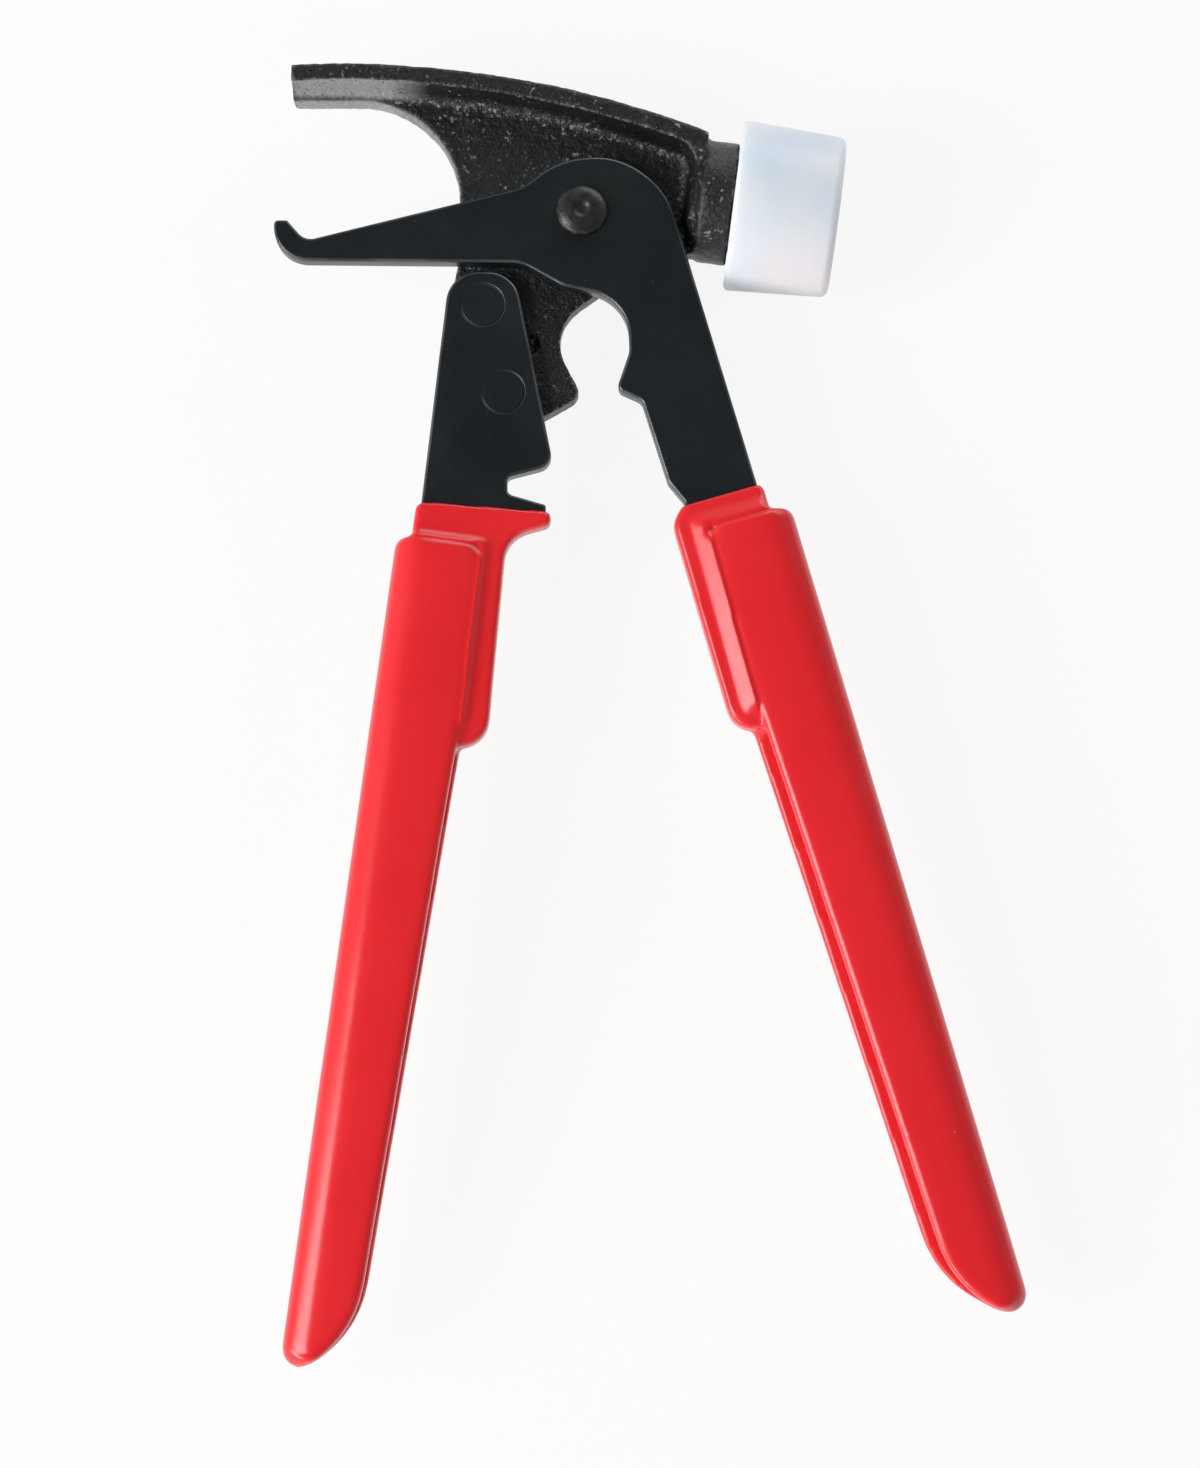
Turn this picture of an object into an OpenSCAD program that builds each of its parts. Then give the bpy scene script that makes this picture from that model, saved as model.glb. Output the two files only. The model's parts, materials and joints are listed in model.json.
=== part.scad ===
// Wheel weight hammer pliers: a cast head with a claw and a nylon striking face, a hooked jaw that
// turns on one rivet, and two handles of plate and folded channel dipped in soft plastic.
// Lengths are millimetres and angles are degrees. Outlines are drawn about the pivot's axis, with
// the tool lying flat, the claw to the left and the handles running down.

/* [Hammer head] */
// Radius of the curved back of the claw
crown_r = 215; // [190:1:260]
// Height of the crown above the pivot
crown_rise = 32.5; // [31:0.1:35]
// Distance from the pivot to the highest point of the crown
crown_back = 52; // [46:0.5:58]
// Distance from the pivot to the tip of the claw
claw_reach = 62.7; // [58:0.1:66]
// Thickness of the claw from its crown to the roof of the throat
claw_t = 7; // [6.4:0.1:8]
// Width of the claw and its flange
flange_w = 20; // [17:0.5:23]
// Thickness of the flange at its edge
flange_t = 4.2; // [3.4:0.1:5]
// Radius of the cove between the head's rim and its web
cove_r = 2.6; // [1.8:0.1:2.8]
// Radius of the cast edges of the flange
cast_edge_r = 0.8; // [0.4:0.1:1.2]
// Thickness of the web
web_t = 6; // [5:0.1:7]
// Radius of the throat
throat_r = 22; // [18:0.5:24]
// Distance from the pivot to the back wall of the throat
throat_back = 26.5; // [25:0.1:28]
// Slope of the rim's inner face, as the width it gains down to the cove
rim_draft = 0.6; // [0.3:0.1:0.7]
// Radius of the corner between flange and shoulder
rim_corner_r = 6; // [5:0.5:8]
// Thickness of the shoulder wall that carries the neck
shoulder_t = 2.4; // [2:0.1:2.8]
// Distance of the shoulder wall's foot below the neck's axis
shoulder_foot = 6.8; // [5:0.1:7]
// Step from the flange's edge face back to the shoulder's
shoulder_inset = 0.3; // [0.2:0.1:0.8]
// Distance from the pivot to the shoulder, along the neck
shoulder_reach = 26.1; // [25.5:0.1:28]
// Slope of the neck below the horizontal
neck_tilt = 7.3; // [5:0.1:9]
// Height of the neck's axis where it passes above the pivot
neck_rise = 7.6; // [7:0.1:8.5]
// Diameter of the neck
neck_d = 26.7; // [24:0.1:28]
// Visible length of the neck
neck_len = 6.9; // [5:0.1:10]
// Diameter of the spigot inside the striking face
spigot_d = 19; // [15:0.5:22]
// Length of the spigot
spigot_len = 13; // [9:0.5:16]
// Depth of the small cast dimple beside the handle plate
dimple_depth = 1.4; // [0.6:0.1:2]
// Diameter of that dimple
dimple_d = 3.6; // [2.5:0.1:5]

/* [Head tail] */
// Margin of the tail's outer edge beside the upper handle rivet
tail_margin = 6.8; // [6:0.1:7.4]
// Length of the tail below the lower handle rivet
tail_drop = 9.5; // [8:0.1:12]
// Distance of the tail lobe's corner below the pivot
lobe_drop = 39.4; // [37:0.1:41]
// Radius of the lobe
lobe_r = 2.6; // [2:0.1:3.2]
// Radius of the notch in the tail
tail_notch_r = 9.6; // [8:0.1:10.5]

/* [Nylon face] */
// Diameter of the striking face piece beside the neck
nylon_d = 36.8; // [33:0.1:39]
// Diameter of the striking face piece at its front
nylon_front_d = 34.6; // [31:0.1:36.4]
// Length of the striking face piece
nylon_len = 22.6; // [20:0.1:26]
// Radius of its front edge
nylon_edge_r = 1.6; // [0.8:0.1:2.5]
// Clearance at the blind end of its bore
nylon_end_gap = 0.4; // [0.2:0.1:1]

/* [Plates] */
// Thickness of both handle plates
plate_t = 4.5; // [3.5:0.1:5.5]
// Radius of the rolled edge that punching leaves on the plates' fronts
rolled_edge = 0.8; // [0.3:0.1:1.1]
// Gap between the turning jaw plate and the faces beside it
turn_gap = 0.25; // [0.15:0.05:0.4]

/* [Jaw plate] */
// Distance from the pivot to the outside of the hook
hook_reach = 66; // [62:0.1:69]
// Width of the hook's tip
hook_tip_w = 2.8; // [2.2:0.1:4]
// Radius of the outside of the hook
hook_outer_r = 7.5; // [5:0.1:8.5]
// Radius of the inside of the hook
hook_inner_r = 3.5; // [2:0.1:4]
// Distance of the hook's tip below the pivot
hook_tip_drop = 1.9; // [1:0.1:3]
// Distance of the arm's lower edge below the pivot
arm_drop = 10.8; // [10:0.1:11.4]
// Height of the pivot boss above the pivot
boss_rise = 12; // [11:0.1:13]
// Radius of the rounded notch in the jaw plate
jaw_notch_r = 10.2; // [8.8:0.1:10.4]
// Distance from the pivot's centre line to the side of that notch
jaw_notch_reach = 9.9; // [9.3:0.1:10.5]
// Distance of the bump under that notch below the pivot
bump_drop = 39; // [38:0.1:40]

/* [Left handle plate] */
// Distance of the upper handle rivet to the left of the pivot
upper_rivet_x = 21.2; // [20:0.1:22]
// Distance of the upper handle rivet below the pivot
upper_rivet_y = 20.5; // [20:0.1:22]
// Distance of the lower handle rivet to the left of the pivot
lower_rivet_x = 16.8; // [16:0.1:18]
// Distance of the lower handle rivet below the pivot
lower_rivet_y = 39.5; // [38:0.1:41]
// Radius of the plate's round end about the upper rivet
plate_end_r = 7.3; // [6.8:0.1:7.5]
// Distance of the small notch below the pivot
small_notch_drop = 59.8; // [58:0.1:61]
// Width of the small notch at its blind end
small_notch_w = 3.6; // [3:0.1:4.2]
// Distance of the notch's blind end to the left of the pivot
small_notch_x = 15.8; // [14.5:0.1:17]

/* [Rivets] */
// Diameter of the pivot rivet's shank
pivot_d = 7; // [6:0.1:8]
// Diameter of the pivot rivet's heads
pivot_head_d = 10.8; // [9.5:0.1:12]
// Height of the pivot rivet's heads
pivot_head_h = 1.9; // [1.4:0.1:2.5]
// Clearance round the pivot's shank
pivot_clearance = 0.05; // [0.03:0.01:0.1]
// Diameter of the handle rivets' shanks
handle_rivet_d = 6.4; // [5:0.1:7]
// Diameter of the handle rivets' flush heads
handle_rivet_head_d = 9.4; // [8.4:0.1:10]
// Depth of the countersinks
countersink = 1.8; // [1.2:0.1:2.2]

/* [Handles] */
// Lean of the left handle from the vertical
left_lean = 7.5; // [6.5:0.1:8.5]
// Distance of the left channel's top corner to the left of the pivot
left_top_x = 39.5; // [38:0.1:41]
// Distance of the left channel's top corner below the pivot
left_top_y = 70.5; // [69.5:0.1:72]
// Lean of the right handle from the vertical with the jaws at rest
right_lean = 16.1; // [14:0.1:18]
// Distance of the right channel's top corner to the right of the pivot
right_top_x = 44.6; // [44:0.1:46]
// Distance of the right channel's top corner below the pivot
right_top_y = 64; // [63:0.1:65.5]
// Length of the grips over their channels
grip_len = 175.6; // [150:0.1:190]
// Width of a grip at its top
grip_top_w = 18.7; // [17.5:0.1:20]
// Width of a grip where the fingers hold it
grip_mid_w = 19.3; // [18:0.1:21]
// Width of a grip near its tip
grip_tip_w = 15; // [14:0.1:17]
// Thickness of the channel's folded sheet
sheet_t = 2; // [1.5:0.1:2.5]
// Thickness of the soft plastic dip
dip_t = 1.25; // [0.8:0.05:1.6]
// Radius of the dip's soft edges
dip_edge_r = 1.2; // [0.6:0.1:1.8]
// Extra width of the left channel's rear leaf
left_lip = 0.5; // [0:0.1:1]
// Extra width of the right channel's rear leaf
right_lip = 2.2; // [0.5:0.1:2.8]
// Length of the left plate's tang inside its channel
left_tang_len = 42; // [36:0.5:46]
// Length of the jaw plate's tang inside its channel
right_tang_len = 43; // [37:0.5:47]
// Width from a grip's back to the inner edge of the left tang
left_tang_w = 24.1; // [23:0.1:25]
// Width from a grip's back to the inner edge of the right tang
right_tang_w = 24.4; // [23.5:0.1:25.5]
// Height of the dip line above the left channel's top
left_dip_rise = 8; // [7.2:0.1:9]
// Height of the dip line above the right channel's top
right_dip_rise = 7; // [6:0.1:7.6]
// Radius of a channel's corners at the back of its top
channel_corner_r = 2.5; // [1.5:0.1:3]

/* [Hidden] */
$fn = 64;
arc_steps = 6;
fine_steps = 16;
fold_steps = 12;
least_r = 0.45;
rim_lap = 0.1;
palm_share = 0.21;
reach = 400;

// Heights of the layers, from the surface that the tool lies on
head_z = nylon_d / 2;
web_front = head_z + web_t / 2;
web_back = head_z - web_t / 2;
left_z = web_front + plate_t / 2;
right_z = left_z + turn_gap;
grip_r = plate_t / 2 + sheet_t + dip_t;

// Radii of a grip's tip: the long sweep and the corner at the back
tip_sweep_r = 1.55 * grip_tip_w;
tip_r = 4;

// Places on the head
crown_centre = [-crown_back, crown_rise - crown_r];
throat_roof = crown_rise - claw_t;
upper_rivet = [-upper_rivet_x, -upper_rivet_y];
lower_rivet = [-lower_rivet_x, -lower_rivet_y];

function unit(v) = v / norm(v);
function turn(a, b, c) = (b[0] - a[0]) * (c[1] - b[1]) - (b[1] - a[1]) * (c[0] - b[0]);
function flat(p) = [p[0], p[1]];

// The arc that rounds corner b between a and c, as steps + 1 points
function corner_arc(a, b, c, r, steps) =
    let (to_a = unit(flat(a) - flat(b)),
        to_c = unit(flat(c) - flat(b)),
        half = acos(max(-1, min(1, to_a * to_c))) / 2,
        centre = flat(b) + unit(to_a + to_c) * r / sin(half),
        side = turn(a, b, c) > 0 ? 1 : -1,
        first = flat(b) + to_a * r / tan(half) - centre,
        start = atan2(first[1], first[0]))
    [for (i = [0 : steps])
        let (angle = start + side * (180 - 2 * half) * i / steps)
        centre + r * [cos(angle), sin(angle)]];

// A closed outline whose corners are [x, y, radius]
function rounded(corners, steps = arc_steps) =
    let (n = len(corners))
    [for (i = [0 : n - 1])
        for (p = corner_arc(corners[(i + n - 1) % n], corners[i], corners[(i + 1) % n],
            corners[i][2], steps)) p];

// The same corners moved inwards by d, or outwards where d is negative
function inset(corners, d) =
    let (n = len(corners),
        way = sign(area(corners)))
    [for (i = [0 : n - 1])
        let (a = corners[(i + n - 1) % n],
            b = corners[i],
            c = corners[(i + 1) % n],
            to_a = unit(flat(a) - flat(b)),
            to_c = unit(flat(c) - flat(b)),
            half = acos(max(-1, min(1, to_a * to_c))) / 2,
            bend = turn(a, b, c) * way > 0 ? 1 : -1,
            moved = flat(b) + unit(to_a + to_c) * bend * d / sin(half))
        [moved[0], moved[1], max(least_r, b[2] - bend * d)]];

function area(points) =
    let (n = len(points))
    sum([for (i = [0 : n - 1])
        let (p = points[i], q = points[(i + 1) % n]) (p[0] * q[1] - q[0] * p[1]) / 2]);
function sum(list, i = 0) = i < len(list) ? list[i] + sum(list, i + 1) : 0;

// A solid through rings of equal length, each [points, z], from the bottom up
module skin(rings) {
    n = len(rings[0][0]);
    last = len(rings) - 1;
    anticlockwise = area(rings[0][0]) > 0;
    points = [for (ring = rings)
        for (i = [0 : n - 1])
            let (p = ring[0][anticlockwise ? i : n - 1 - i]) [p[0], p[1], ring[1]]];
    walls = [for (k = [0 : last - 1])
        for (i = [0 : n - 1])
            let (j = (i + 1) % n)
            for (face = [[k * n + i, (k + 1) * n + j, k * n + j],
                [k * n + i, (k + 1) * n + i, (k + 1) * n + j]]) face];
    polyhedron(points, concat(walls, [[for (i = [0 : n - 1]) i]],
        [[for (i = [n - 1 : -1 : 0]) last * n + i]]), convexity = 6);
}

// A slab with a shaped rim: profile runs [distance in from the outline, z] from back to front.
// The rim laps a little over the flat core inside it.
module rimmed_slab(corners, section) {
    last = len(section) - 1;
    width = max([for (p = section) p[0]]) + rim_lap;
    profile = concat([[width, section[0][1]]], section, [[width, section[last][1]]]);
    rings = [for (p = profile) rounded(inset(corners, p[0]))];
    n = len(rings[0]);
    rows = len(profile);
    points = [for (k = [0 : rows - 1])
        for (p = rings[k]) [p[0], p[1], profile[k][1]]];
    faces = [for (k = [0 : rows - 1])
        for (i = [0 : n - 1])
            let (here = k * n,
                next = (k + 1) % rows * n,
                j = (i + 1) % n)
            for (face = [[here + i, next + j, here + j], [here + i, next + i, next + j]]) face];
    clockwise = area(rings[0]) < 0;
    polyhedron(points, clockwise ? [for (f = faces) [f[0], f[2], f[1]]] : faces, convexity = 8);
    low = section[0][1];
    translate([0, 0, low])
        linear_extrude(section[last][1] - low)
            polygon(rounded(inset(corners, width - rim_lap / 2)));
}

// A punched plate on z = 0: square behind, with a rolled edge in front
module punched_plate(corners) {
    rimmed_slab(corners, concat([[0, 0]], [for (a = [0, 30, 60, 90])
        rolled_edge * [1 - cos(a), sin(a)] + [0, plate_t - rolled_edge]]));
}

// Handle frames: u runs down a channel from its top, v runs inwards from its rounded back
function left_at(u, v) = [-left_top_x - u * sin(left_lean) + v * cos(left_lean),
    -left_top_y - u * cos(left_lean) - v * sin(left_lean)];
function right_at(u, v) = [right_top_x + u * sin(right_lean) - v * cos(right_lean),
    -right_top_y - u * cos(right_lean) - v * sin(right_lean)];
function with_r(p, r) = [p[0], p[1], r];

// Outline of one leaf of a dipped channel in its handle frame, back_v from the rounded back. It is
// widest where the palm holds it, and its tip is a long round from the open side to the back.
function leaf(lip, back_v, edge) =
    let (open_v = grip_tip_w + lip - edge,
        tip_end = grip_len + sqrt(2) * tip_r - sqrt(2) * edge)
    [[edge, back_v, channel_corner_r * (1 - 0.7 * back_v / grip_r)],
        [edge, grip_top_w + lip - edge, 3.2],
        [grip_len * palm_share, grip_mid_w + lip - edge, 40],
        [tip_end - open_v, open_v, tip_sweep_r - edge],
        [tip_end - back_v, back_v, min(tip_r, tip_room(open_v - back_v, tip_sweep_r - edge))]];

// The greatest radius that fits the tip's back corner beside the sweep, with the tip cut at 45 degrees
function tip_room(width, sweep_r) = 0.96 * (sqrt(2) * width - sweep_r * tan(22.5)) / tan(67.5);

// The soft skin of a dipped channel: a full round back and soft edges on the open side
function grip_ring(lip, a) =
    let (z = grip_r * sin(a),
        over = max(0, abs(z) - grip_r + dip_edge_r),
        edge = dip_edge_r - sqrt(dip_edge_r * dip_edge_r - over * over))
    [rounded(leaf(a > 0 ? 0 : lip, grip_r * (1 - cos(a)), edge)), z];

module grip_skin(lip) {
    skin([for (a = [-90, -74, -58, -42, -25, -8, 8, 25, 42, 58, 74, 90]) grip_ring(lip, a)]);
}

// The folded channel of sheet inside that skin
module folded_channel(lip) {
    gap = plate_t / 2;
    fold_end = grip_len - 6;
    for (leaf_at = [[0, gap], [lip, -gap - sheet_t]])
        translate([0, 0, leaf_at[1]])
            linear_extrude(sheet_t)
                polygon(rounded(inset(leaf(leaf_at[0], grip_r - dip_t, 0), dip_t)));
    translate([dip_t, grip_r, 0])
        rotate([90, 0, 90])
            linear_extrude(fold_end - dip_t)
                polygon(fold_section);
}

// Section of the fold: a half ring that laps over both leaves
fold_section = let (inner = plate_t / 2,
        outer = inner + sheet_t,
        lap = 1)
    concat([[lap, outer]],
        [for (i = [0 : fold_steps]) outer * [-sin(180 * i / fold_steps), cos(180 * i / fold_steps)]],
        [[lap, -outer], [lap, -inner]],
        [for (i = [fold_steps : -1 : 0])
            inner * [-sin(180 * i / fold_steps), cos(180 * i / fold_steps)]],
        [[lap, inner]]);

// The slit between the two dipped leaves, from the end of the tang to past the tip
module grip_slit(tang_len) {
    translate([tang_len + 2 * dip_t, grip_r, dip_t - plate_t / 2])
        cube([reach, reach, plate_t - 2 * dip_t]);
}

module on_left() {
    translate([-left_top_x, -left_top_y, left_z])
        rotate([0, 0, -90 - left_lean])
            children();
}

module on_right() {
    translate([right_top_x, -right_top_y, right_z])
        rotate([0, 0, right_lean - 90])
            mirror([0, 1, 0])
                children();
}

// Left plate: the part above the dip, then the tang
left_upper = [[upper_rivet[0] - plate_end_r + 0.2, upper_rivet[1] + plate_end_r, plate_end_r - 0.4],
    [upper_rivet[0] + plate_end_r - 0.5, upper_rivet[1] + plate_end_r, plate_end_r - 0.4],
    [-6, -small_notch_drop + 4.4, 3.2],
    [-small_notch_x, -small_notch_drop + small_notch_w / 2, 1.2],
    [-small_notch_x, -small_notch_drop - small_notch_w / 2, 1.5],
    [-7.6, -small_notch_drop - 4.2, 0.6]];
left_spur = [-7.6, -small_notch_drop - 7.7, 0.35];
left_tang = [[-17, -left_top_y + 0.5, 8],
    with_r(left_at(left_tang_len, left_tang_w), 5),
    with_r(left_at(left_tang_len, grip_r + 0.1), 1.2),
    with_r(left_at(dip_t, grip_r + 0.1), 1.2),
    with_r(left_at(-0.8, grip_r - 0.9), 1.2)];
left_plate_corners = concat(left_upper, [left_spur], left_tang);

// Jaw plate: hook, arm, boss, notch and bump, then the tang
jaw_upper = [[-hook_reach, -hook_tip_drop, 0.9],
    [-hook_reach + hook_tip_w, -hook_tip_drop, 0.7],
    [-hook_reach + 6.7, -hook_tip_drop - 4.5, hook_inner_r],
    [-12.8, 5.3, 9],
    [-4.9, boss_rise - 0.6, 18],
    [7.6, boss_rise + 0.5, 16.4],
    [18.2, boss_rise - 7.1, 18]];
jaw_lower = [[22, -right_top_y + 0.4, 1.2],
    [18.4, -right_top_y + 4.8, 1.2],
    [12.8, -bump_drop - 2.4, 2.5],
    [jaw_notch_reach - 2.5, -bump_drop, 1.7],
    [jaw_notch_reach + 0.3, -bump_drop + 8.3, 6],
    [jaw_notch_reach - 0.1, -19.3, jaw_notch_r],
    [-4, -16.4, 6],
    [-12.9, -arm_drop - 0.5, 8],
    [-hook_reach, -arm_drop, hook_outer_r]];
right_tang = [with_r(right_at(right_tang_len, grip_r), 1.2),
    with_r(right_at(right_tang_len, right_tang_w), 4.5),
    with_r(right_at(-2.6, right_tang_w - 0.1), 2.4)];
jaw_corners = concat(jaw_upper, right_tang, jaw_lower);

// The dipped part of each plate, before the dip's thickness is added
left_dipped = concat([[left_spur[0], left_spur[1] + 1, 0.3], left_spur], left_tang,
    [with_r(left_at(dip_t - left_dip_rise, grip_r - 0.9), 0.5)]);
right_dipped = concat([with_r(right_at(dip_t - right_dip_rise + 0.5, grip_r + 0.4), 0.5)], right_tang,
    [with_r(right_at(dip_t - right_dip_rise + 0.5, right_tang_w - 2.6), 0.5)]);

// The reach of the whole tool, which sets the frame's origin
left_tip = [for (p = grip_ring(left_lip, -8)[0]) left_at(p[0], p[1])];
right_tip = concat([for (p = grip_ring(right_lip, -8)[0]) right_at(p[0], p[1])],
    [for (p = grip_ring(right_lip, 8)[0]) right_at(p[0], p[1])]);
low_x = min([for (p = rounded(jaw_corners, fine_steps)) p[0]]);
high_x = max([for (p = right_tip) p[0]]);
low_y = min([for (p = left_tip) p[1]]);
high_y = crown_rise;
middle = [(low_x + high_x) / 2, (low_y + high_y) / 2];

module in_frame() {
    translate([-middle[0], -middle[1], 0])
        children();
}

function neck_at(along, across) = [along * cos(neck_tilt) + across * sin(neck_tilt),
    neck_rise - along * sin(neck_tilt) + across * cos(neck_tilt)];

// Outline of the head below its crown: claw, throat, tail with notch and lobe, then shoulder
head_corners = [[-claw_reach, crown_rise + 10, 0.2],
    [-claw_reach, throat_roof, 0.8],
    [-throat_back, throat_roof, throat_r],
    [-throat_back, -8, 8],
    [upper_rivet[0] - tail_margin, upper_rivet[1] + 4, 8],
    [lower_rivet[0] - 10.5, lower_rivet[1] - tail_drop, 7],
    [lower_rivet[0] - 2, lower_rivet[1] - tail_drop - 1.2, 5.5],
    [0.3, -lobe_drop, lobe_r],
    [-7.2, -24.7, tail_notch_r],
    [9.5, -13, 5],
    [19, -9.4, 3],
    with_r(neck_at(shoulder_reach, 1 - neck_d / 2), 0.8),
    with_r(neck_at(shoulder_reach, crown_rise + 10), 0.2)];

module on_neck() {
    translate([0, neck_rise, head_z])
        rotate([0, 0, -neck_tilt])
            children();
}

// Half of the rim's section from its inner face down the cove to the web, where inner is the place of
// that face and outer the place of the back. A sunk section has all its faces a little lower.
function rim_half(inner, outer, half, sunk = 0) =
    let (toe = web_t / 2 - 0.1 - sunk,
        face = inner + sunk,
        foot = face - rim_draft)
    concat([[outer, 0], [outer, half], [face, half], [foot, toe + cove_r]],
        [for (a = [15 : 15 : 90]) [foot - cove_r * (1 - cos(a)), toe + cove_r * (1 - sin(a))]],
        [[foot - cove_r - 1, toe - 1], [foot - cove_r - 1, 0]]);

// The same with its outer edge rounded as it comes out of the mould
function flange_half() =
    let (half = flange_w / 2,
        section = rim_half(crown_r - flange_t, crown_r, half))
    concat([section[0]],
        [for (a = [0 : 22.5 : 90]) [crown_r, half] - cast_edge_r * [1 - cos(a), 1 - sin(a)]],
        [for (i = [2 : len(section) - 1]) section[i]]);

// Both halves of such a section as one outline
module whole_section(half) {
    polygon(concat(half, [for (i = [len(half) - 2 : -1 : 1]) [half[i][0], -half[i][1]]]));
}

// The flange follows the crown's arc, longer than the claw and cut back by the head's outline
module claw_flange() {
    sweep_back = asin((claw_reach - crown_back + 4) / crown_r);
    sweep_fore = asin((crown_back + shoulder_reach + 8) / crown_r);
    translate([crown_centre[0], crown_centre[1], head_z])
        rotate([0, 0, 90 - sweep_fore])
            rotate_extrude(angle = sweep_fore + sweep_back, $fn = 360)
                whole_section(flange_half());
}

// The web fills the crown's circle up to the middle of the flange
module head_web() {
    translate([crown_centre[0], crown_centre[1], web_back])
        cylinder(h = web_t, r = crown_r - flange_t / 2, $fn = 360);
}

// The wall that stands across the end of the flange and carries the neck
module shoulder() {
    crown_run = shoulder_reach - crown_centre[0];
    crown_here = crown_centre[1] + sqrt(crown_r * crown_r - crown_run * crown_run);
    top = crown_here - 0.6 * flange_t - neck_rise + shoulder_reach * sin(neck_tilt);
    on_neck()
        translate([0, -shoulder_foot, 0])
            rotate([-90, 0, 0])
                linear_extrude(top + shoulder_foot)
                    whole_section(rim_half(wall_along, shoulder_reach + 2, flange_w / 2 - shoulder_inset));
}

// Place of the wall's inner face, and the middle of the rounded corner between it and the flange
wall_along = shoulder_reach - shoulder_t;
corner_along = wall_along - rim_corner_r;
corner_across = let (from = neck_at(corner_along, 0) - crown_centre,
        slope = from * [sin(neck_tilt), cos(neck_tilt)],
        far = crown_r - flange_t - rim_corner_r)
    sqrt(slope * slope - from * from + far * far) - slope;

// The rim bends round that corner with the same section, sunk so that its ends are buried in the
// flange and the wall
module rim_corner() {
    middle_here = neck_at(corner_along, corner_across);
    crown_slope = asin((middle_here[0] - crown_centre[0]) / (crown_r - flange_t - rim_corner_r));
    translate([middle_here[0], middle_here[1], head_z])
        rotate([0, 0, -neck_tilt])
            rotate_extrude(angle = 90 - crown_slope + neck_tilt)
                whole_section(rim_half(rim_corner_r, rim_corner_r + 2.2,
                    flange_w / 2 - 1.5 * shoulder_inset, 0.08));
}

// The round neck with its cone behind and its spigot in front
module neck() {
    back = shoulder_t;
    cone = 3.4;
    on_neck()
        translate([shoulder_reach - back, 0, 0])
            rotate([0, 90, 0])
                rotate_extrude()
                    polygon([[0, 0], [neck_d / 2 - cone, 0], [neck_d / 2 - 0.4, back - 0.2],
                        [neck_d / 2, back + 0.4], [neck_d / 2, back + neck_len],
                        [spigot_d / 2, back + neck_len],
                        [spigot_d / 2, back + neck_len + spigot_len - 1],
                        [spigot_d / 2 - 1, back + neck_len + spigot_len],
                        [0, back + neck_len + spigot_len]]);
}

module hammer_head() {
    color("#1c1f21")
        in_frame()
            difference() {
                union() {
                    intersection() {
                        union() {
                            claw_flange();
                            head_web();
                            shoulder();
                            rim_corner();
                        }
                        linear_extrude(nylon_d)
                            polygon(rounded(head_corners, fine_steps));
                    }
                    neck();
                }
                translate([0, 0, web_back - 1])
                    cylinder(h = web_t + 2, d = pivot_d);
                for (place = [upper_rivet, lower_rivet])
                    translate([place[0], place[1], 0])
                        handle_rivet_hole();
                translate([upper_rivet[0] + 10, upper_rivet[1] - 7.6, web_front - dimple_depth])
                    cylinder(h = 3, d = dimple_d);
            }
}

module nylon_face() {
    slope = (nylon_d - nylon_front_d) / 2 / nylon_len;
    front_r = nylon_front_d / 2;
    color("#e8eaee")
        in_frame()
            on_neck()
                translate([shoulder_reach + neck_len, 0, 0])
                    rotate([0, 90, 0])
                        rotate_extrude()
                            polygon(concat([[spigot_d / 2, 0], [nylon_d / 2 - 0.8, 0],
                                [nylon_d / 2 - 0.2, 0.3], [nylon_d / 2 - 0.8 * slope, 0.8]],
                                [for (a = [0 : 15 : 90])
                                    [front_r - nylon_edge_r * (1 - cos(a)),
                                        nylon_len - nylon_edge_r * (1 - sin(a))]],
                                [[0, nylon_len], [0, spigot_len + nylon_end_gap],
                                    [spigot_d / 2, spigot_len + nylon_end_gap]]));
}

// A handle rivet: countersunk and flush at the plate's front and at the web's back
module handle_rivet_solid() {
    head_r = handle_rivet_head_d / 2;
    shank_r = handle_rivet_d / 2;
    front = web_front + plate_t;
    translate([0, 0, web_back])
        rotate_extrude()
            polygon([[0, 0], [head_r, 0], [shank_r, countersink],
                [shank_r, front - web_back - countersink], [head_r, front - web_back - 0.5],
                [head_r, front - web_back], [0, front - web_back]]);
}

// The hole for it through plate and web, cut past both faces
module handle_rivet_hole() {
    head_r = handle_rivet_head_d / 2;
    shank_r = handle_rivet_d / 2;
    depth = web_t + plate_t;
    past = 1;
    translate([0, 0, web_back])
        rotate_extrude()
            polygon([[0, -past], [head_r, -past], [head_r, 0], [shank_r, countersink],
                [shank_r, depth - countersink], [head_r, depth - 0.5],
                [head_r, depth + past], [0, depth + past]]);
}

module handle_rivet(place) {
    color("#26292c")
        in_frame()
            translate([place[0], place[1], 0])
                handle_rivet_solid();
}

module left_plate_solid() {
    translate([0, 0, web_front])
        punched_plate(left_plate_corners);
}

module left_handle_plate() {
    color("#212629")
        in_frame()
            difference() {
                left_plate_solid();
                for (place = [upper_rivet, lower_rivet])
                    translate([place[0], place[1], 0])
                        handle_rivet_hole();
            }
}

module jaw_plate_solid() {
    translate([0, 0, web_front + turn_gap])
        punched_plate(jaw_corners);
}

module jaw_plate() {
    color("#212629")
        in_frame()
            difference() {
                jaw_plate_solid();
                translate([0, 0, web_front - 1])
                    cylinder(h = plate_t + 3, r = pivot_d / 2 + pivot_clearance);
            }
}

// One head of the pivot rivet on z = 0: a low dome with a shallow struck centre
module pivot_head() {
    r = pivot_head_d / 2;
    rim = 0.4;
    struck = 0.35 * r;
    rotate_extrude()
        polygon(concat([[0, 0], [r, 0], [r, rim]],
            [for (a = [15 : 15 : 75])
                [struck + (r - struck) * cos(a), rim + (pivot_head_h - rim) * sin(a)]],
            [[struck, pivot_head_h], [struck - 0.5, pivot_head_h - 0.3], [0, pivot_head_h - 0.4]]));
}

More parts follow.
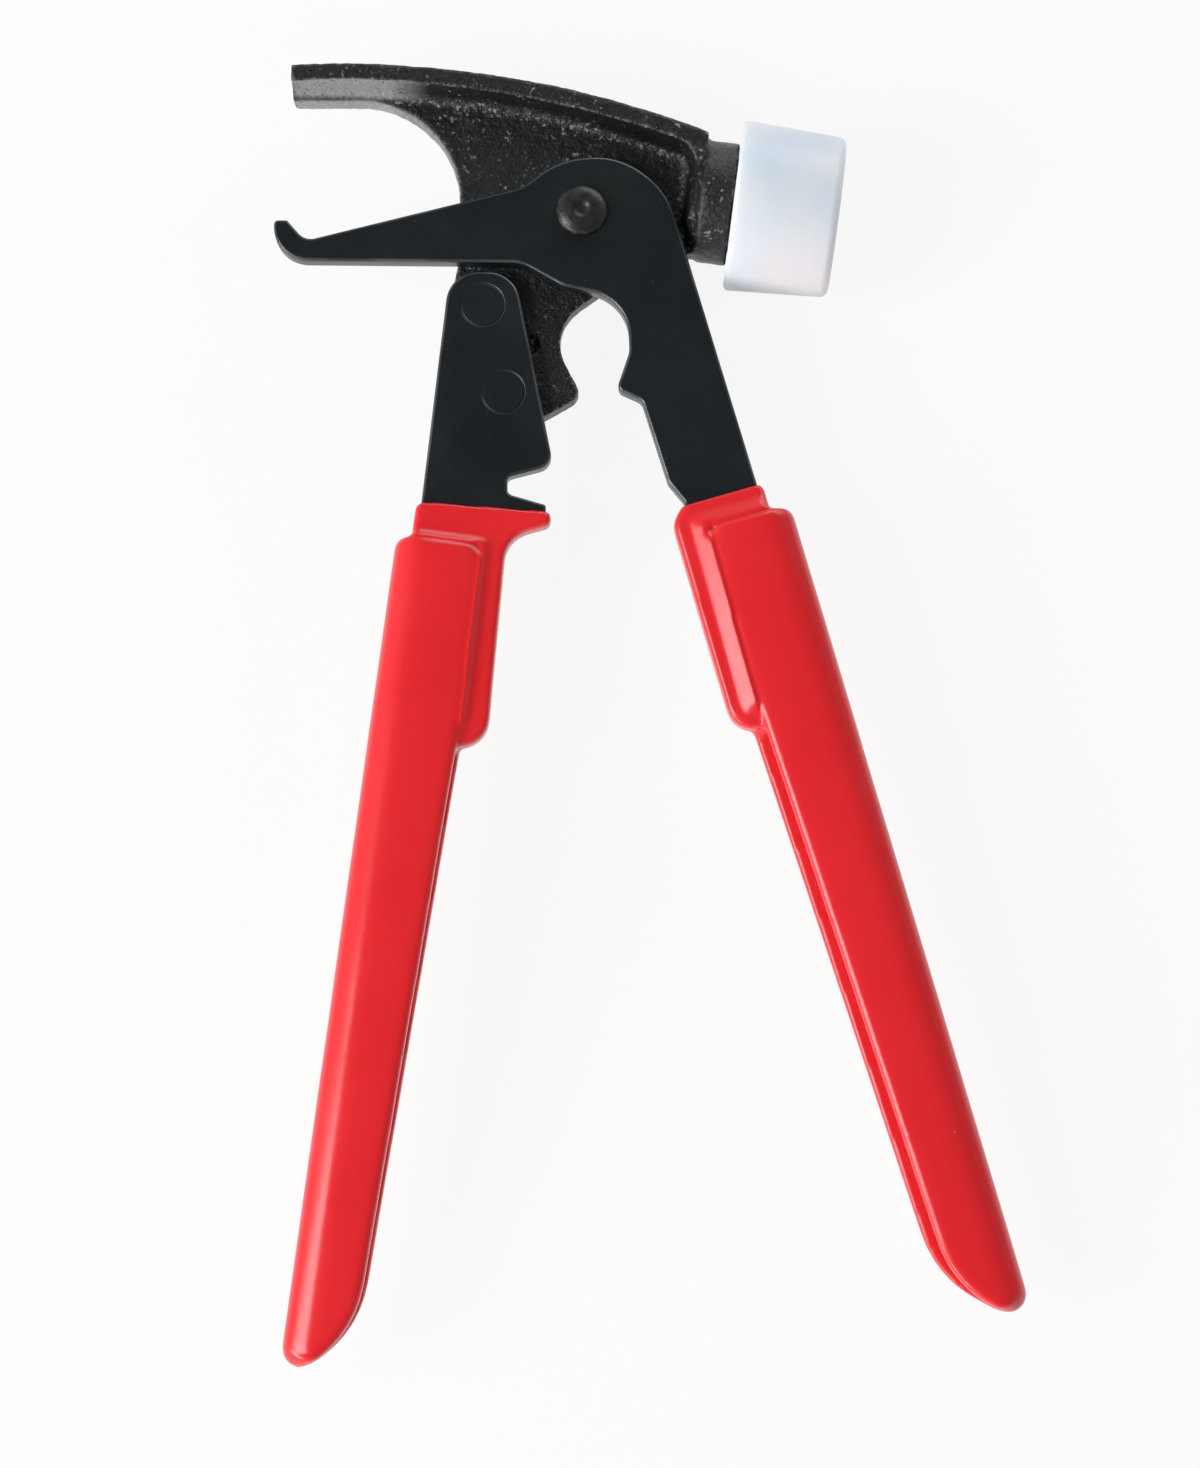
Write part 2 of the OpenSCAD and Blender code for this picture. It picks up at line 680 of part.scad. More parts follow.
module pivot_rivet() {
    front = web_front + plate_t + 2 * turn_gap;
    color("#2a2d30")
        in_frame() {
            translate([0, 0, web_back])
                cylinder(h = front - web_back, d = pivot_d);
            translate([0, 0, front])
                pivot_head();
            translate([0, 0, web_back])
                mirror([0, 0, 1])
                    pivot_head();
        }
}

module left_grip_channel() {
    color("#4a4e52")
        in_frame()
            on_left()
                folded_channel(left_lip);
}

module right_grip_channel() {
    color("#4a4e52")
        in_frame()
            on_right()
                folded_channel(right_lip);
}

// The dip over a plate's tang: the dipped outline grown by the dip's thickness
module dipped_tang(corners, z) {
    straight = plate_t / 2 + dip_t - dip_edge_r;
    translate([0, 0, z])
        rimmed_slab(inset(corners, -dip_t), [for (side = [-1, 1])
            for (a = side < 0 ? [90, 60, 30, 0] : [0, 30, 60, 90])
                [dip_edge_r * (1 - cos(a)), side * (straight + dip_edge_r * sin(a))]]);
}

// The space that a plate takes up inside the dip
module plate_space(corners, z) {
    translate([0, 0, z - plate_t / 2])
        linear_extrude(plate_t)
            polygon(rounded(corners));
}

module left_grip() {
    color("#d8262c")
        in_frame()
            difference() {
                union() {
                    on_left()
                        grip_skin(left_lip);
                    dipped_tang(left_dipped, left_z);
                }
                on_left() {
                    folded_channel(left_lip);
                    grip_slit(left_tang_len);
                }
                plate_space(left_plate_corners, left_z);
            }
}

module right_grip() {
    color("#d8262c")
        in_frame()
            difference() {
                union() {
                    on_right()
                        grip_skin(right_lip);
                    dipped_tang(right_dipped, right_z);
                }
                on_right() {
                    folded_channel(right_lip);
                    grip_slit(right_tang_len);
                }
                plate_space(jaw_corners, right_z);
            }
}

hammer_head();
nylon_face();
left_handle_plate();
handle_rivet(upper_rivet);  // upper_handle_rivet
handle_rivet(lower_rivet);  // lower_handle_rivet
jaw_plate();
pivot_rivet();
left_grip_channel();
right_grip_channel();
left_grip();
right_grip();
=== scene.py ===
import json
import math

import bmesh
import bpy
from mathutils import Matrix, Vector, noise


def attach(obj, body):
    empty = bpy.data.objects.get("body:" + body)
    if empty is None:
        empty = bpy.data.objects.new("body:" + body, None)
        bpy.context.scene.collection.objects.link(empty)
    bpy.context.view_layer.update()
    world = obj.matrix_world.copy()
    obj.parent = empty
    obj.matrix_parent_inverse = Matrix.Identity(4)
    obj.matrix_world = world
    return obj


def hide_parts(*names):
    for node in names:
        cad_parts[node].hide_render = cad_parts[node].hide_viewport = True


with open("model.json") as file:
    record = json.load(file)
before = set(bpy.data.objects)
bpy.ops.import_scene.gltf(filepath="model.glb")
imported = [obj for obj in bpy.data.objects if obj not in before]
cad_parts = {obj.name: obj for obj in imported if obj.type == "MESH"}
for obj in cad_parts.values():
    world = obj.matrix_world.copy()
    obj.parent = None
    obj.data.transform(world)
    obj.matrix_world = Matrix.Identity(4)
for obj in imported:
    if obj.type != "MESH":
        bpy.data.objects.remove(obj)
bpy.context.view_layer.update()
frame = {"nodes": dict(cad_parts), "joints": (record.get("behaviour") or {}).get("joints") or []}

# Hammer head
# One steel casting with claw, flange, web, shoulder and neck. It is sand cast and dipped in black enamel,
# so its edges are round, its skin is pitted, and the paint has worn to grey along the rim. The pale specks
# on rims and in roots are partly painted glints, and the grey in the mouth is partly a painted reflection.

MM = 0.001
SAME_POINT = 0.001 * MM
HEAD_LEVEL = 18.4 * MM
WEB = 6 * MM
CASTING_CELL = 0.42 * MM
CASTING_RELAX = 4
# Noise that sinks the skin: its size, its depth and the level at which it is cut off
CASTING_LUMP = (6 * MM, 0.1 * MM, -1.5)
CASTING_PIT = (1.4 * MM, 0.13 * MM, -0.3)
# How much the surface turns where the rim mark is full, and where the root mark is full
RIM_TURN = 0.3
ROOT_TURN = -0.07
# The mouth's middle in millimetres from the pivot, and how far and how squarely its grey (wear and painted
# reflection) reaches
MOUTH = (-40, 2)
MOUTH_SPAN = 36 * MM
SPAN_FADE = 3 * MM
FACING = 0.35
FACING_FADE = 0.3
CLAW_END = -33
CLAW_FADE = 9 * MM
WEB_EDGE = 3.3 * MM
EDGE_FADE = 0.4 * MM
WEB_EDGE_SHARE = 0.6
pivot = Vector(frame["joints"][0]["pos_m"])


def linear(hex_colour):
    """A linear RGBA colour from an sRGB hex value."""
    channels = [int(hex_colour[i:i + 2], 16) / 255 for i in (1, 3, 5)]
    return [c / 12.92 if c <= 0.04045 else ((c + 0.055) / 1.055) ** 2.4 for c in channels] + [1]


def add(tree, kind, inputs=None, stops=(), **settings):
    """A node with its settings, inputs (values, sockets or nodes) and stops (colours or grey levels)."""
    node = tree.nodes.new(kind)
    for name, value in settings.items():
        setattr(node, name, value)
    for name, value in (inputs or {}).items():
        if isinstance(value, bpy.types.Node):
            value = next(socket for socket in value.outputs if socket.enabled)
        if isinstance(value, bpy.types.NodeSocket):
            tree.links.new(value, node.inputs[name])
        else:
            node.inputs[name].default_value = value
    while stops and len(node.color_ramp.elements) < len(stops):
        node.color_ramp.elements.new(0.5)
    for i, (position, colour) in enumerate(stops):
        node.color_ramp.elements[i].position = position
        node.color_ramp.elements[i].color = colour if isinstance(colour, list) else [colour] * 3 + [1]
    return node


def new_material(name):
    """An empty material, its node tree and its Object coordinates."""
    material = bpy.data.materials.new(name)
    material.use_nodes = True
    material.node_tree.nodes.clear()
    place = add(material.node_tree, "ShaderNodeTexCoord").outputs["Object"]
    return material, material.node_tree, place


def where_both(tree, first, first_stops, second, second_stops):
    """How far two patterns show in one place, each taken through its own stops."""
    return add(tree, "ShaderNodeMath", {
        0: add(tree, "ShaderNodeValToRGB", {"Fac": first}, first_stops),
        1: add(tree, "ShaderNodeValToRGB", {"Fac": second}, second_stops)}, operation="MULTIPLY")


def coated(tree, colour, *coats):
    """A colour with coats over it, each given as (where it shows, its sRGB hex value)."""
    for where, coat in coats:
        colour = add(tree, "ShaderNodeMix", {"Factor": where, "A": colour, "B": linear(coat)},
                     data_type="RGBA")
    return colour


def painted_casting():
    """Stoved enamel on a sand casting: near black and glossy, gritty, with pale dust, pale specks of wear
    and painted glint on edges and grit, and a painted reflection in the mouth.
    """
    material, tree, place = new_material("black_enamel_on_sand_casting")
    # Moulding sand of 0.35 mm, drawn at 0.75 mm so that single grains show
    grit = add(tree, "ShaderNodeTexNoise", {"Vector": place, "Scale": 1 / (0.75 * MM), "Detail": 3,
                                            "Roughness": 0.65})
    lumps = add(tree, "ShaderNodeTexNoise", {"Vector": place, "Scale": 1 / (5 * MM), "Detail": 3})
    flecks = add(tree, "ShaderNodeTexNoise", {"Vector": place, "Scale": 1 / (0.9 * MM), "Detail": 3})
    rims = add(tree, "ShaderNodeAttribute", attribute_name="rim_mark").outputs["Fac"]
    # Pale specks on the rims: partly paint worn to grey, partly painted glints of the rough skin
    wear_and_glint = where_both(tree, rims, ((0.3, 0.0), (0.8, 0.6)), flecks, ((0.5, 0.0), (0.6, 1.0)))
    # Dust lies in patches; in the flange's root, where the web faces up, pale specks are partly grit and
    # partly painted glints
    normal = add(tree, "ShaderNodeNewGeometry").outputs["Normal"]
    upwards = add(tree, "ShaderNodeSeparateXYZ", {"Vector": normal}).outputs["Z"]
    roots = add(tree, "ShaderNodeMath", {
        0: add(tree, "ShaderNodeAttribute", attribute_name="root_mark").outputs["Fac"],
        1: add(tree, "ShaderNodeValToRGB", {"Fac": upwards}, ((0.7, 0.0), (0.86, 1.0)))},
        operation="MULTIPLY")
    root_grit_and_glint = where_both(tree, roots, ((0.25, 0.0), (0.6, 0.8)), flecks, ((0.57, 0.0), (0.66, 1.0)))
    patched = where_both(tree, flecks, ((0.62, 0.0), (0.68, 0.8)), lumps, ((0.48, 0.0), (0.6, 1.0)))
    # Dust in patches, together with the root's pale specks that are partly painted glints
    dust_and_glint = add(tree, "ShaderNodeMath", {0: patched, 1: root_grit_and_glint}, operation="MAXIMUM")
    # Grey where the surface faces the mouth: partly rubbed by lead weights, partly a painted reflection of
    # the pale table
    mouth_wear_and_reflection = add(tree, "ShaderNodeMath", {
        0: add(tree, "ShaderNodeAttribute", attribute_name="mouth_mark").outputs["Fac"],
        1: add(tree, "ShaderNodeValToRGB", {"Fac": grit}, ((0.32, 0.1), (0.42, 1.0)))},
        operation="MULTIPLY")
    paint = add(tree, "ShaderNodeValToRGB", {"Fac": grit},
                ((0.3, linear("#0a0b0c")), (0.7, linear("#191b1d"))))
    colour = coated(tree, paint, (mouth_wear_and_reflection, "#8f8f92"), (dust_and_glint, "#94979a"), (wear_and_glint, "#8b8e90"))
    gloss = add(tree, "ShaderNodeValToRGB", {"Fac": grit}, ((0.3, 0.5), (0.7, 0.24)))
    height = add(tree, "ShaderNodeMath", {0: grit, 1: lumps}, operation="ADD")
    bump = add(tree, "ShaderNodeBump", {"Height": height, "Distance": 0.3 * MM, "Strength": 0.9})
    shader = add(tree, "ShaderNodeBsdfPrincipled", {"Base Color": colour, "Roughness": gloss,
                                                    "Normal": bump})
    add(tree, "ShaderNodeOutputMaterial", {"Surface": shader})
    return material


def finer_copy(node, cell, turn=0.0):
    """A closed copy of a CAD solid, remade in small cells that lie along it once it is turned."""
    shell = bmesh.new()
    shell.from_mesh(frame["nodes"][node].data)
    bmesh.ops.remove_doubles(shell, verts=shell.verts, dist=SAME_POINT)
    bmesh.ops.rotate(shell, verts=shell.verts, matrix=Matrix.Rotation(turn, 3, "Z"))
    mesh = bpy.data.meshes.new(node + "_merged")
    shell.to_mesh(mesh)
    shell.free()
    merged = bpy.data.objects.new(node + "_merged", mesh)
    bpy.context.collection.objects.link(merged)
    cells = merged.modifiers.new("cells", "REMESH")
    cells.mode = "VOXEL"
    cells.voxel_size = cell
    finer = bpy.data.meshes.new_from_object(merged.evaluated_get(bpy.context.evaluated_depsgraph_get()))
    bpy.data.objects.remove(merged)
    bpy.data.meshes.remove(mesh)
    finer.transform(Matrix.Rotation(-turn, 4, "Z"))
    finer.materials.clear()
    finer.polygons.foreach_set("use_smooth", [True] * len(finer.polygons))
    return finer


def relax(mesh, times_over):
    """Draws every point towards its neighbours, so that the edges turn round."""
    shell = bmesh.new()
    shell.from_mesh(mesh)
    for _ in range(times_over):
        bmesh.ops.smooth_vert(shell, verts=shell.verts, factor=0.5, use_axis_x=True, use_axis_y=True,
                              use_axis_z=True)
    shell.to_mesh(mesh)
    shell.free()


def add_piece(name, mesh, material, body, slot, *nodes):
    """A finished piece at the origin, riding on its body in place of its CAD solids."""
    mesh.name = name
    mesh.materials.append(material)
    piece = bpy.data.objects.new(name, mesh)
    bpy.context.collection.objects.link(piece)
    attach(piece, body)
    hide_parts(*nodes)


def sink(mesh, *grains):
    """Sinks each point by noise, given as (size, depth, level at which the noise is cut off)."""
    normals = [vertex.normal.copy() for vertex in mesh.vertices]
    for vertex, normal in zip(mesh.vertices, normals):
        depth = sum(most * max(0, noise.noise(vertex.co / size) - cut) for size, most, cut in grains)
        vertex.co -= normal * depth


def kept_in(value):
    """The value kept between 0 and 1."""
    return min(1, max(0, value))


def mark_rims(mesh, name, full):
    """Stores how sharply the surface turns at each point: outwards, or inwards where full is negative."""
    turn = [0.0] * len(mesh.vertices)
    share = [0] * len(mesh.vertices)
    places = [vertex.co for vertex in mesh.vertices]
    normals = [vertex.normal for vertex in mesh.vertices]
    for edge in mesh.edges:
        a, b = edge.vertices
        along = places[b] - places[a]
        bend = (normals[b] - normals[a]).dot(along) / along.length if along.length else 0
        for end in (a, b):
            turn[end] += bend
            share[end] += 1
    mark_layer = mesh.attributes.new(name, "FLOAT", "POINT")
    mark_layer.data.foreach_set("value", [kept_in(t / max(1, n) / full) for t, n in zip(turn, share)])


def mark_mouth(mesh):
    """Stores where the surface faces the mouth, painted grey for rubbing by lead weights and as a painted
    reflection of the pale table.
    """
    centre = Vector((pivot.x + MOUTH[0] * MM, pivot.y + MOUTH[1] * MM))
    mark_layer = mesh.attributes.new("mouth_mark", "FLOAT", "POINT")
    for vertex, stored in zip(mesh.vertices, mark_layer.data):
        inwards = centre - vertex.co.xy
        facing = kept_in((vertex.normal.xy.dot(inwards.normalized()) - FACING) / FACING_FADE)
        near = kept_in((MOUTH_SPAN - inwards.length) / SPAN_FADE)
        claw = kept_in((pivot.x + CLAW_END * MM - vertex.co.x) / CLAW_FADE)
        edge = kept_in((WEB_EDGE - abs(vertex.co.z - HEAD_LEVEL)) / EDGE_FADE)
        stored.value = near * facing * max(claw, edge * WEB_EDGE_SHARE)


casting = finer_copy("hammer_head", CASTING_CELL)
relax(casting, CASTING_RELAX)
mark_rims(casting, "rim_mark", RIM_TURN)
mark_rims(casting, "root_mark", ROOT_TURN)
mark_mouth(casting)
sink(casting, CASTING_LUMP, CASTING_PIT)
add_piece("head_casting", casting, painted_casting(), "head", "black_casting", "hammer_head")

# Nylon striking face
# A cap of cast nylon pressed on the neck's spigot, so that struck weights aren't marked. It is turned
# to a slight taper with soft edges, and the light goes some way into it.

NECK_TILT = math.radians(7.3)
NECK_AXIS = Vector((math.cos(NECK_TILT), -math.sin(NECK_TILT), 0))
NECK_HEIGHT = 7.6 * MM
FACE_REACH = 33 * MM
FACE_LENGTH = 22.6 * MM
REAR_RADIUS = 18.35 * MM
REAR_ROUND = 1.1 * MM
FRONT_RADIUS = 17.3 * MM
FRONT_ROUND = 1.9 * MM
FRONT_FLAT = 8 * MM
BORE_RADIUS = 9.5 * MM
BORE_DEPTH = 13.4 * MM


def turned(profile, origin, axis, steps=96):
    """A closed solid turned about an axis; profile is (distance along, radius) and ends on the axis."""
    side = Vector((0, 0, 1)) if abs(axis.z) < 0.9 else Vector((0, 1, 0))
    other = axis.cross(side)
    shell = bmesh.new()
    rings = []
    for along, radius in profile:
        centre = origin + axis * along
        angles = [2 * math.pi * i / steps for i in range(steps if radius else 1)]
        rings.append([shell.verts.new(centre + radius * (math.cos(a) * side + math.sin(a) * other))
                      for a in angles])
    for low, high in zip(rings, rings[1:]):
        for i in range(steps):
            j = (i + 1) % steps
            if len(low) == 1:
                shell.faces.new([low[0], high[j], high[i]])
            elif len(high) == 1:
                shell.faces.new([low[i], low[j], high[0]])
            else:
                shell.faces.new([low[i], low[j], high[j], high[i]])
    bmesh.ops.recalc_face_normals(shell, faces=shell.faces)
    for face in shell.faces:
        face.smooth = True
    mesh = bpy.data.meshes.new("turned")
    shell.to_mesh(mesh)
    shell.free()
    return mesh


def arc(along, radius, turn, start, end, steps=6):
    """Points of a rounded edge about (along, radius), from one angle to the other in degrees."""
    angles = [math.radians(start + (end - start) * i / steps) for i in range(steps + 1)]
    return [(along + turn * math.sin(a), radius + turn * math.cos(a)) for a in angles]


def cast_nylon():
    """Cast nylon 6: milky and slightly see-through, with faint cold and warm shades and turning marks."""
    material, tree, place = new_material("turned_cast_nylon")
    clouds = add(tree, "ShaderNodeTexNoise", {"Vector": place, "Scale": 1 / (24 * MM), "Detail": 1})
    knocks = add(tree, "ShaderNodeTexNoise", {"Vector": place, "Scale": 1 / (4 * MM), "Detail": 4})
    # Turning marks 0.1 mm apart, drawn 3 mm apart: the wave goes through 20 radians in one unit
    along = add(tree, "ShaderNodeMapping", {"Vector": place, "Rotation": (0, 0, NECK_TILT)})
    marks = add(tree, "ShaderNodeTexWave", {"Vector": along, "Scale": 1 / (0.5 * MM) / 20,
                                            "Distortion": 1.5, "Detail": 2}, bands_direction="X")
    colour = add(tree, "ShaderNodeValToRGB", {"Fac": clouds},
                 ((0.34, linear("#dde7f4")), (0.5, linear("#e8edf4")), (0.66, linear("#f0edf0"))))
    gloss = add(tree, "ShaderNodeValToRGB", {"Fac": knocks}, ((0.3, 0.36), (0.7, 0.48)))
    height = add(tree, "ShaderNodeMath", {0: marks.outputs["Fac"], 1: knocks}, operation="ADD")
    bump = add(tree, "ShaderNodeBump", {"Height": height, "Distance": 0.05 * MM, "Strength": 0.4})
    shader = add(tree, "ShaderNodeBsdfPrincipled", {
        "Base Color": colour, "Roughness": gloss, "Normal": bump, "IOR": 1.53,
        "Subsurface Weight": 0.8, "Subsurface Radius": (0.9, 0.95, 1.0), "Subsurface Scale": 5 * MM})
    add(tree, "ShaderNodeOutputMaterial", {"Surface": shader})
    return material


face_start = Vector((pivot.x, pivot.y + NECK_HEIGHT, HEAD_LEVEL)) + NECK_AXIS * FACE_REACH
face_profile = ([(BORE_DEPTH, 0), (BORE_DEPTH, BORE_RADIUS), (0, BORE_RADIUS)]
                + arc(REAR_ROUND, REAR_RADIUS - REAR_ROUND, REAR_ROUND, -90, 0)
                + arc(FACE_LENGTH - FRONT_ROUND, FRONT_RADIUS - FRONT_ROUND, FRONT_ROUND, 0, 90)
                + [(FACE_LENGTH, FRONT_FLAT), (FACE_LENGTH, 0)])
add_piece("striking_face", turned(face_profile, face_start, NECK_AXIS), cast_nylon(), "head",
          "white_nylon", "nylon_face")

# Handle plate and jaw plate
# Two plates punched from 4.5 mm cold-rolled steel and blacked in a hot bath. The punch rolls the front
# edges over, and the rims are rubbed bright where they catch the hand, with a painted highlight along
# them.

PLATE = 4.5 * MM
ROLL = 0.62 * MM
BURR = 0.25 * MM
ARC_STEPS = 16
PLATE_BACK = HEAD_LEVEL + WEB / 2
JAW_GAP = 0.25 * MM
JAW_BACK = PLATE_BACK + JAW_GAP
UPPER_RIVET = (-21.2, -20.5)
LOWER_RIVET = (-16.8, -39.5)
SET_HEAD = 4.7 * MM
SET_GROOVE = 0.22 * MM
PIVOT_HOLE = 3.55 * MM
PIVOT_HOLE_EDGE = 0.2 * MM
LEFT_TOP = (-39.5, -70.5)
LEFT_LEAN = math.radians(7.5)
LEFT_TANG = 42
RIGHT_TOP = (44.6, -64)
RIGHT_LEAN = math.radians(16.1)
RIGHT_TANG = 43


def left_at(u, v):
    """A point of the left handle: u millimetres down from its channel's top, v in from its back."""
    return (LEFT_TOP[0] - u * math.sin(LEFT_LEAN) + v * math.cos(LEFT_LEAN),
            LEFT_TOP[1] - u * math.cos(LEFT_LEAN) - v * math.sin(LEFT_LEAN))


def right_at(u, v):
    """The same on the right handle, whose back faces the other way."""
    return (RIGHT_TOP[0] + u * math.sin(RIGHT_LEAN) - v * math.cos(RIGHT_LEAN),
            RIGHT_TOP[1] - u * math.cos(RIGHT_LEAN) - v * math.sin(RIGHT_LEAN))


def rounded(corners):
    """A closed outline in metres from corners (x, y, radius) in millimetres about the pivot."""
    outline = []
    for i, (x, y, radius) in enumerate(corners):
        here = Vector((x, y))
        back = (Vector(corners[i - 1][:2]) - here).normalized()
        on = (Vector(corners[(i + 1) % len(corners)][:2]) - here).normalized()
        half = back.angle(on) / 2
        centre = here + (back + on).normalized() * radius / math.sin(half)
        arm = here + back * radius / math.tan(half) - centre
        way = 1 if (-back).cross(on) > 0 else -1
        for k in range(ARC_STEPS + 1):
            a = way * (math.pi - 2 * half) * k / ARC_STEPS
            point = centre + Vector((arm.x * math.cos(a) - arm.y * math.sin(a),
                                     arm.x * math.sin(a) + arm.y * math.cos(a)))
            outline.append(Vector((pivot.x + point.x * MM, pivot.y + point.y * MM)))
    return outline


def moved_in(outline, distance):
    """The outline moved inwards along its own normals."""
    count = len(outline)
    way = 1 if sum(outline[i - 1].cross(outline[i]) for i in range(count)) > 0 else -1
    moved = []
    for i, here in enumerate(outline):
        along = (outline[(i + 1) % count] - outline[i - 1]).normalized()
        moved.append(here + Vector((-along.y, along.x)) * distance * way)
    return moved


def circle(place, radius, steps=72):
    """A circle about a point given in millimetres from the pivot."""
    angles = [2 * math.pi * i / steps for i in range(steps)]
    return [Vector((pivot.x + place[0] * MM + radius * math.cos(a),
                    pivot.y + place[1] * MM + radius * math.sin(a))) for a in angles]


def punched_plate(outline, back, holes):
    """A plate with a rolled front edge and a burr behind, and round holes as (circle, edge radius)."""
    shell = bmesh.new()
    mark_layer = shell.verts.layers.float.new("rim_mark")
    front_rim = []
    back_rim = []

    def wall(line, rows):
        rings = [[shell.verts.new((p.x, p.y, back + height)) for p in moved_in(line, distance)]
                 for distance, height in rows]
        # The flat front shares the last row, which stays unmarked so that the wear and painted highlight
        # keep to the rim
        for ring in rings[-8:-1]:
            for vertex in ring:
                vertex[mark_layer] = 1
        pairs = [(i, (i + 1) % len(line)) for i in range(len(line))]
        for low, high in zip(rings, rings[1:]):
            for i, j in pairs:
                shell.faces.new([low[i], low[j], high[j], high[i]])
        back_rim.extend(shell.edges.get((rings[0][i], rings[0][j])) for i, j in pairs)
        front_rim.extend(shell.edges.get((rings[-1][i], rings[-1][j])) for i, j in pairs)

    burr = [math.radians(a) for a in (0, 30, 60, 90)]
    roll = [math.radians(10 * k) for k in range(10)]
    wall(outline, [(BURR * (1 - math.sin(a)), BURR * (1 - math.cos(a))) for a in burr]
         + [(ROLL * (1 - math.cos(a)), PLATE - ROLL + ROLL * math.sin(a)) for a in roll])
    for line, edge in holes:
        wall(line, [(-edge, 0), (0, edge), (0, PLATE - edge), (-edge * 0.3, PLATE - edge * 0.3),
                    (-edge, PLATE)])
    for rim in (back_rim, front_rim):
        bmesh.ops.triangle_fill(shell, use_beauty=True, use_dissolve=False, edges=rim)
    bmesh.ops.recalc_face_normals(shell, faces=shell.faces)
    for face in shell.faces:
        face.smooth = abs(face.normal.z) < 0.999
    mesh = bpy.data.meshes.new("plate")
    shell.to_mesh(mesh)
    shell.free()
    return mesh


def blacked_plate():
    """Hot-blacked cold-rolled steel: blue-black satin, faint cloud and fine grain, a little lint."""
    material, tree, place = new_material("hot_blacked_rolled_steel")
    cloud = add(tree, "ShaderNodeTexNoise", {"Vector": place, "Scale": 1 / (16 * MM), "Detail": 4})
    # Rolled grain of 0.1 mm, drawn at 0.45 mm
    grain = add(tree, "ShaderNodeTexNoise", {"Vector": place, "Scale": 1 / (0.45 * MM), "Detail": 2})
    glint = add(tree, "ShaderNodeValToRGB", {"Fac": grain}, ((0.5, 0.0), (0.75, 0.35)))
    lint = add(tree, "ShaderNodeTexVoronoi", {"Vector": place, "Scale": 1 / (2.6 * MM)}).outputs
    dust = where_both(tree, lint["Distance"], ((0.03, 0.35), (0.06, 0.0)),
                      lint["Color"], ((0.6, 0.0), (0.66, 1.0)))
    on_rim = add(tree, "ShaderNodeAttribute", attribute_name="rim_mark").outputs["Fac"]
    # Rims: partly rubbed bright, partly a painted highlight of the light that the rolled edges catch
    wear_and_glint = where_both(tree, on_rim, ((0.3, 0.0), (0.8, 1.0)), cloud, ((0.42, 0.3), (0.58, 1.0)))
    black = add(tree, "ShaderNodeValToRGB", {"Fac": cloud},
                ((0.32, linear("#0e1417")), (0.68, linear("#151a1d"))))
    colour = coated(tree, black, (glint, "#22282b"), (dust, "#84898b"), (wear_and_glint, "#5c6064"))
    bare = add(tree, "ShaderNodeMath", {0: wear_and_glint, 1: 0.45}, operation="MULTIPLY")
    satin = add(tree, "ShaderNodeValToRGB", {"Fac": cloud}, ((0.3, 0.3), (0.7, 0.38)))
    gloss = add(tree, "ShaderNodeMix", {"Factor": on_rim, "A": satin, "B": [0.2, 0.2, 0.2, 1]},
                data_type="RGBA")
    bump = add(tree, "ShaderNodeBump", {"Height": grain, "Distance": 0.03 * MM, "Strength": 0.6})
    shader = add(tree, "ShaderNodeBsdfPrincipled", {"Base Color": colour, "Metallic": bare,
                                                    "Roughness": gloss, "Normal": bump})
    add(tree, "ShaderNodeOutputMaterial", {"Surface": shader})
    return material


left_outline = rounded([(-28.3, -13.2, 6.9), (-14.4, -13.2, 6.9), (-6, -55.4, 3.2), (-15.8, -58, 1.2),
                        (-15.8, -61.6, 1.5), (-7.6, -64, 0.68), (-7.6, -67.5, 0.68), (-17, -70, 8),
                        (*left_at(LEFT_TANG, 24.1), 5), (*left_at(LEFT_TANG, 5.6), 1.2),
                        (*left_at(1.25, 5.6), 1.2), (*left_at(-0.8, 4.6), 1.2)])
jaw_outline = rounded([(-66, -1.9, 0.9), (-63.2, -1.9, 0.8), (-59.3, -6.4, 3.5), (-12.8, 5.3, 9),
                       (-4.9, 11.4, 18), (7.6, 12.5, 16.4), (18.2, 4.9, 18),
                       (*right_at(RIGHT_TANG, 5.5), 1.2), (*right_at(RIGHT_TANG, 24.4), 4.5),
                       (*right_at(-2.6, 24.3), 2.4), (22, -63.6, 1.2), (18.4, -59.2, 1.2),
                       (12.8, -41.4, 2.5), (7.4, -39, 1.7), (10.2, -30.7, 6), (9.8, -19.3, 10.2),
                       (-4, -16.4, 6), (-12.9, -11.3, 8), (-66, -10.8, 7.5)])
black_steel = blacked_plate()
rivet_holes = [(circle(place, SET_HEAD), SET_GROOVE) for place in (UPPER_RIVET, LOWER_RIVET)]
add_piece("left_plate", punched_plate(left_outline, PLATE_BACK, rivet_holes), black_steel, "head",
          "black_plate", "left_handle_plate")
pivot_hole = (circle((0, 0), PIVOT_HOLE), PIVOT_HOLE_EDGE)
add_piece("hooked_jaw", punched_plate(jaw_outline, JAW_BACK, [pivot_hole]), black_steel, "jaw",
          "black_plate", "jaw_plate")

# Handle rivets
# Two steel rivets that join the left plate to the head. They are set cold in countersunk holes, dressed
# flush and blacked with the plate, so only a hair of groove shows round each.

RIVET_LENGTH = WEB + PLATE
SHANK = 3.2 * MM
COUNTERSINK = 1.8 * MM
HEAD_LAND = 0.5 * MM
HEAD_PLAY = 0.06 * MM


def flush_rivet():
    """A flush rivet standing on its rear head at the origin."""
    head = SET_HEAD - HEAD_PLAY
    profile = ([(0, 0), (0, SET_HEAD), (COUNTERSINK, SHANK), (RIVET_LENGTH - COUNTERSINK, SHANK),
                (RIVET_LENGTH - HEAD_LAND, head)]
               + arc(RIVET_LENGTH - SET_GROOVE, head - SET_GROOVE, SET_GROOVE, 0, 90)
               + [(RIVET_LENGTH, 0)])
    return turned(profile, Vector((0, 0, 0)), Vector((0, 0, 1)))


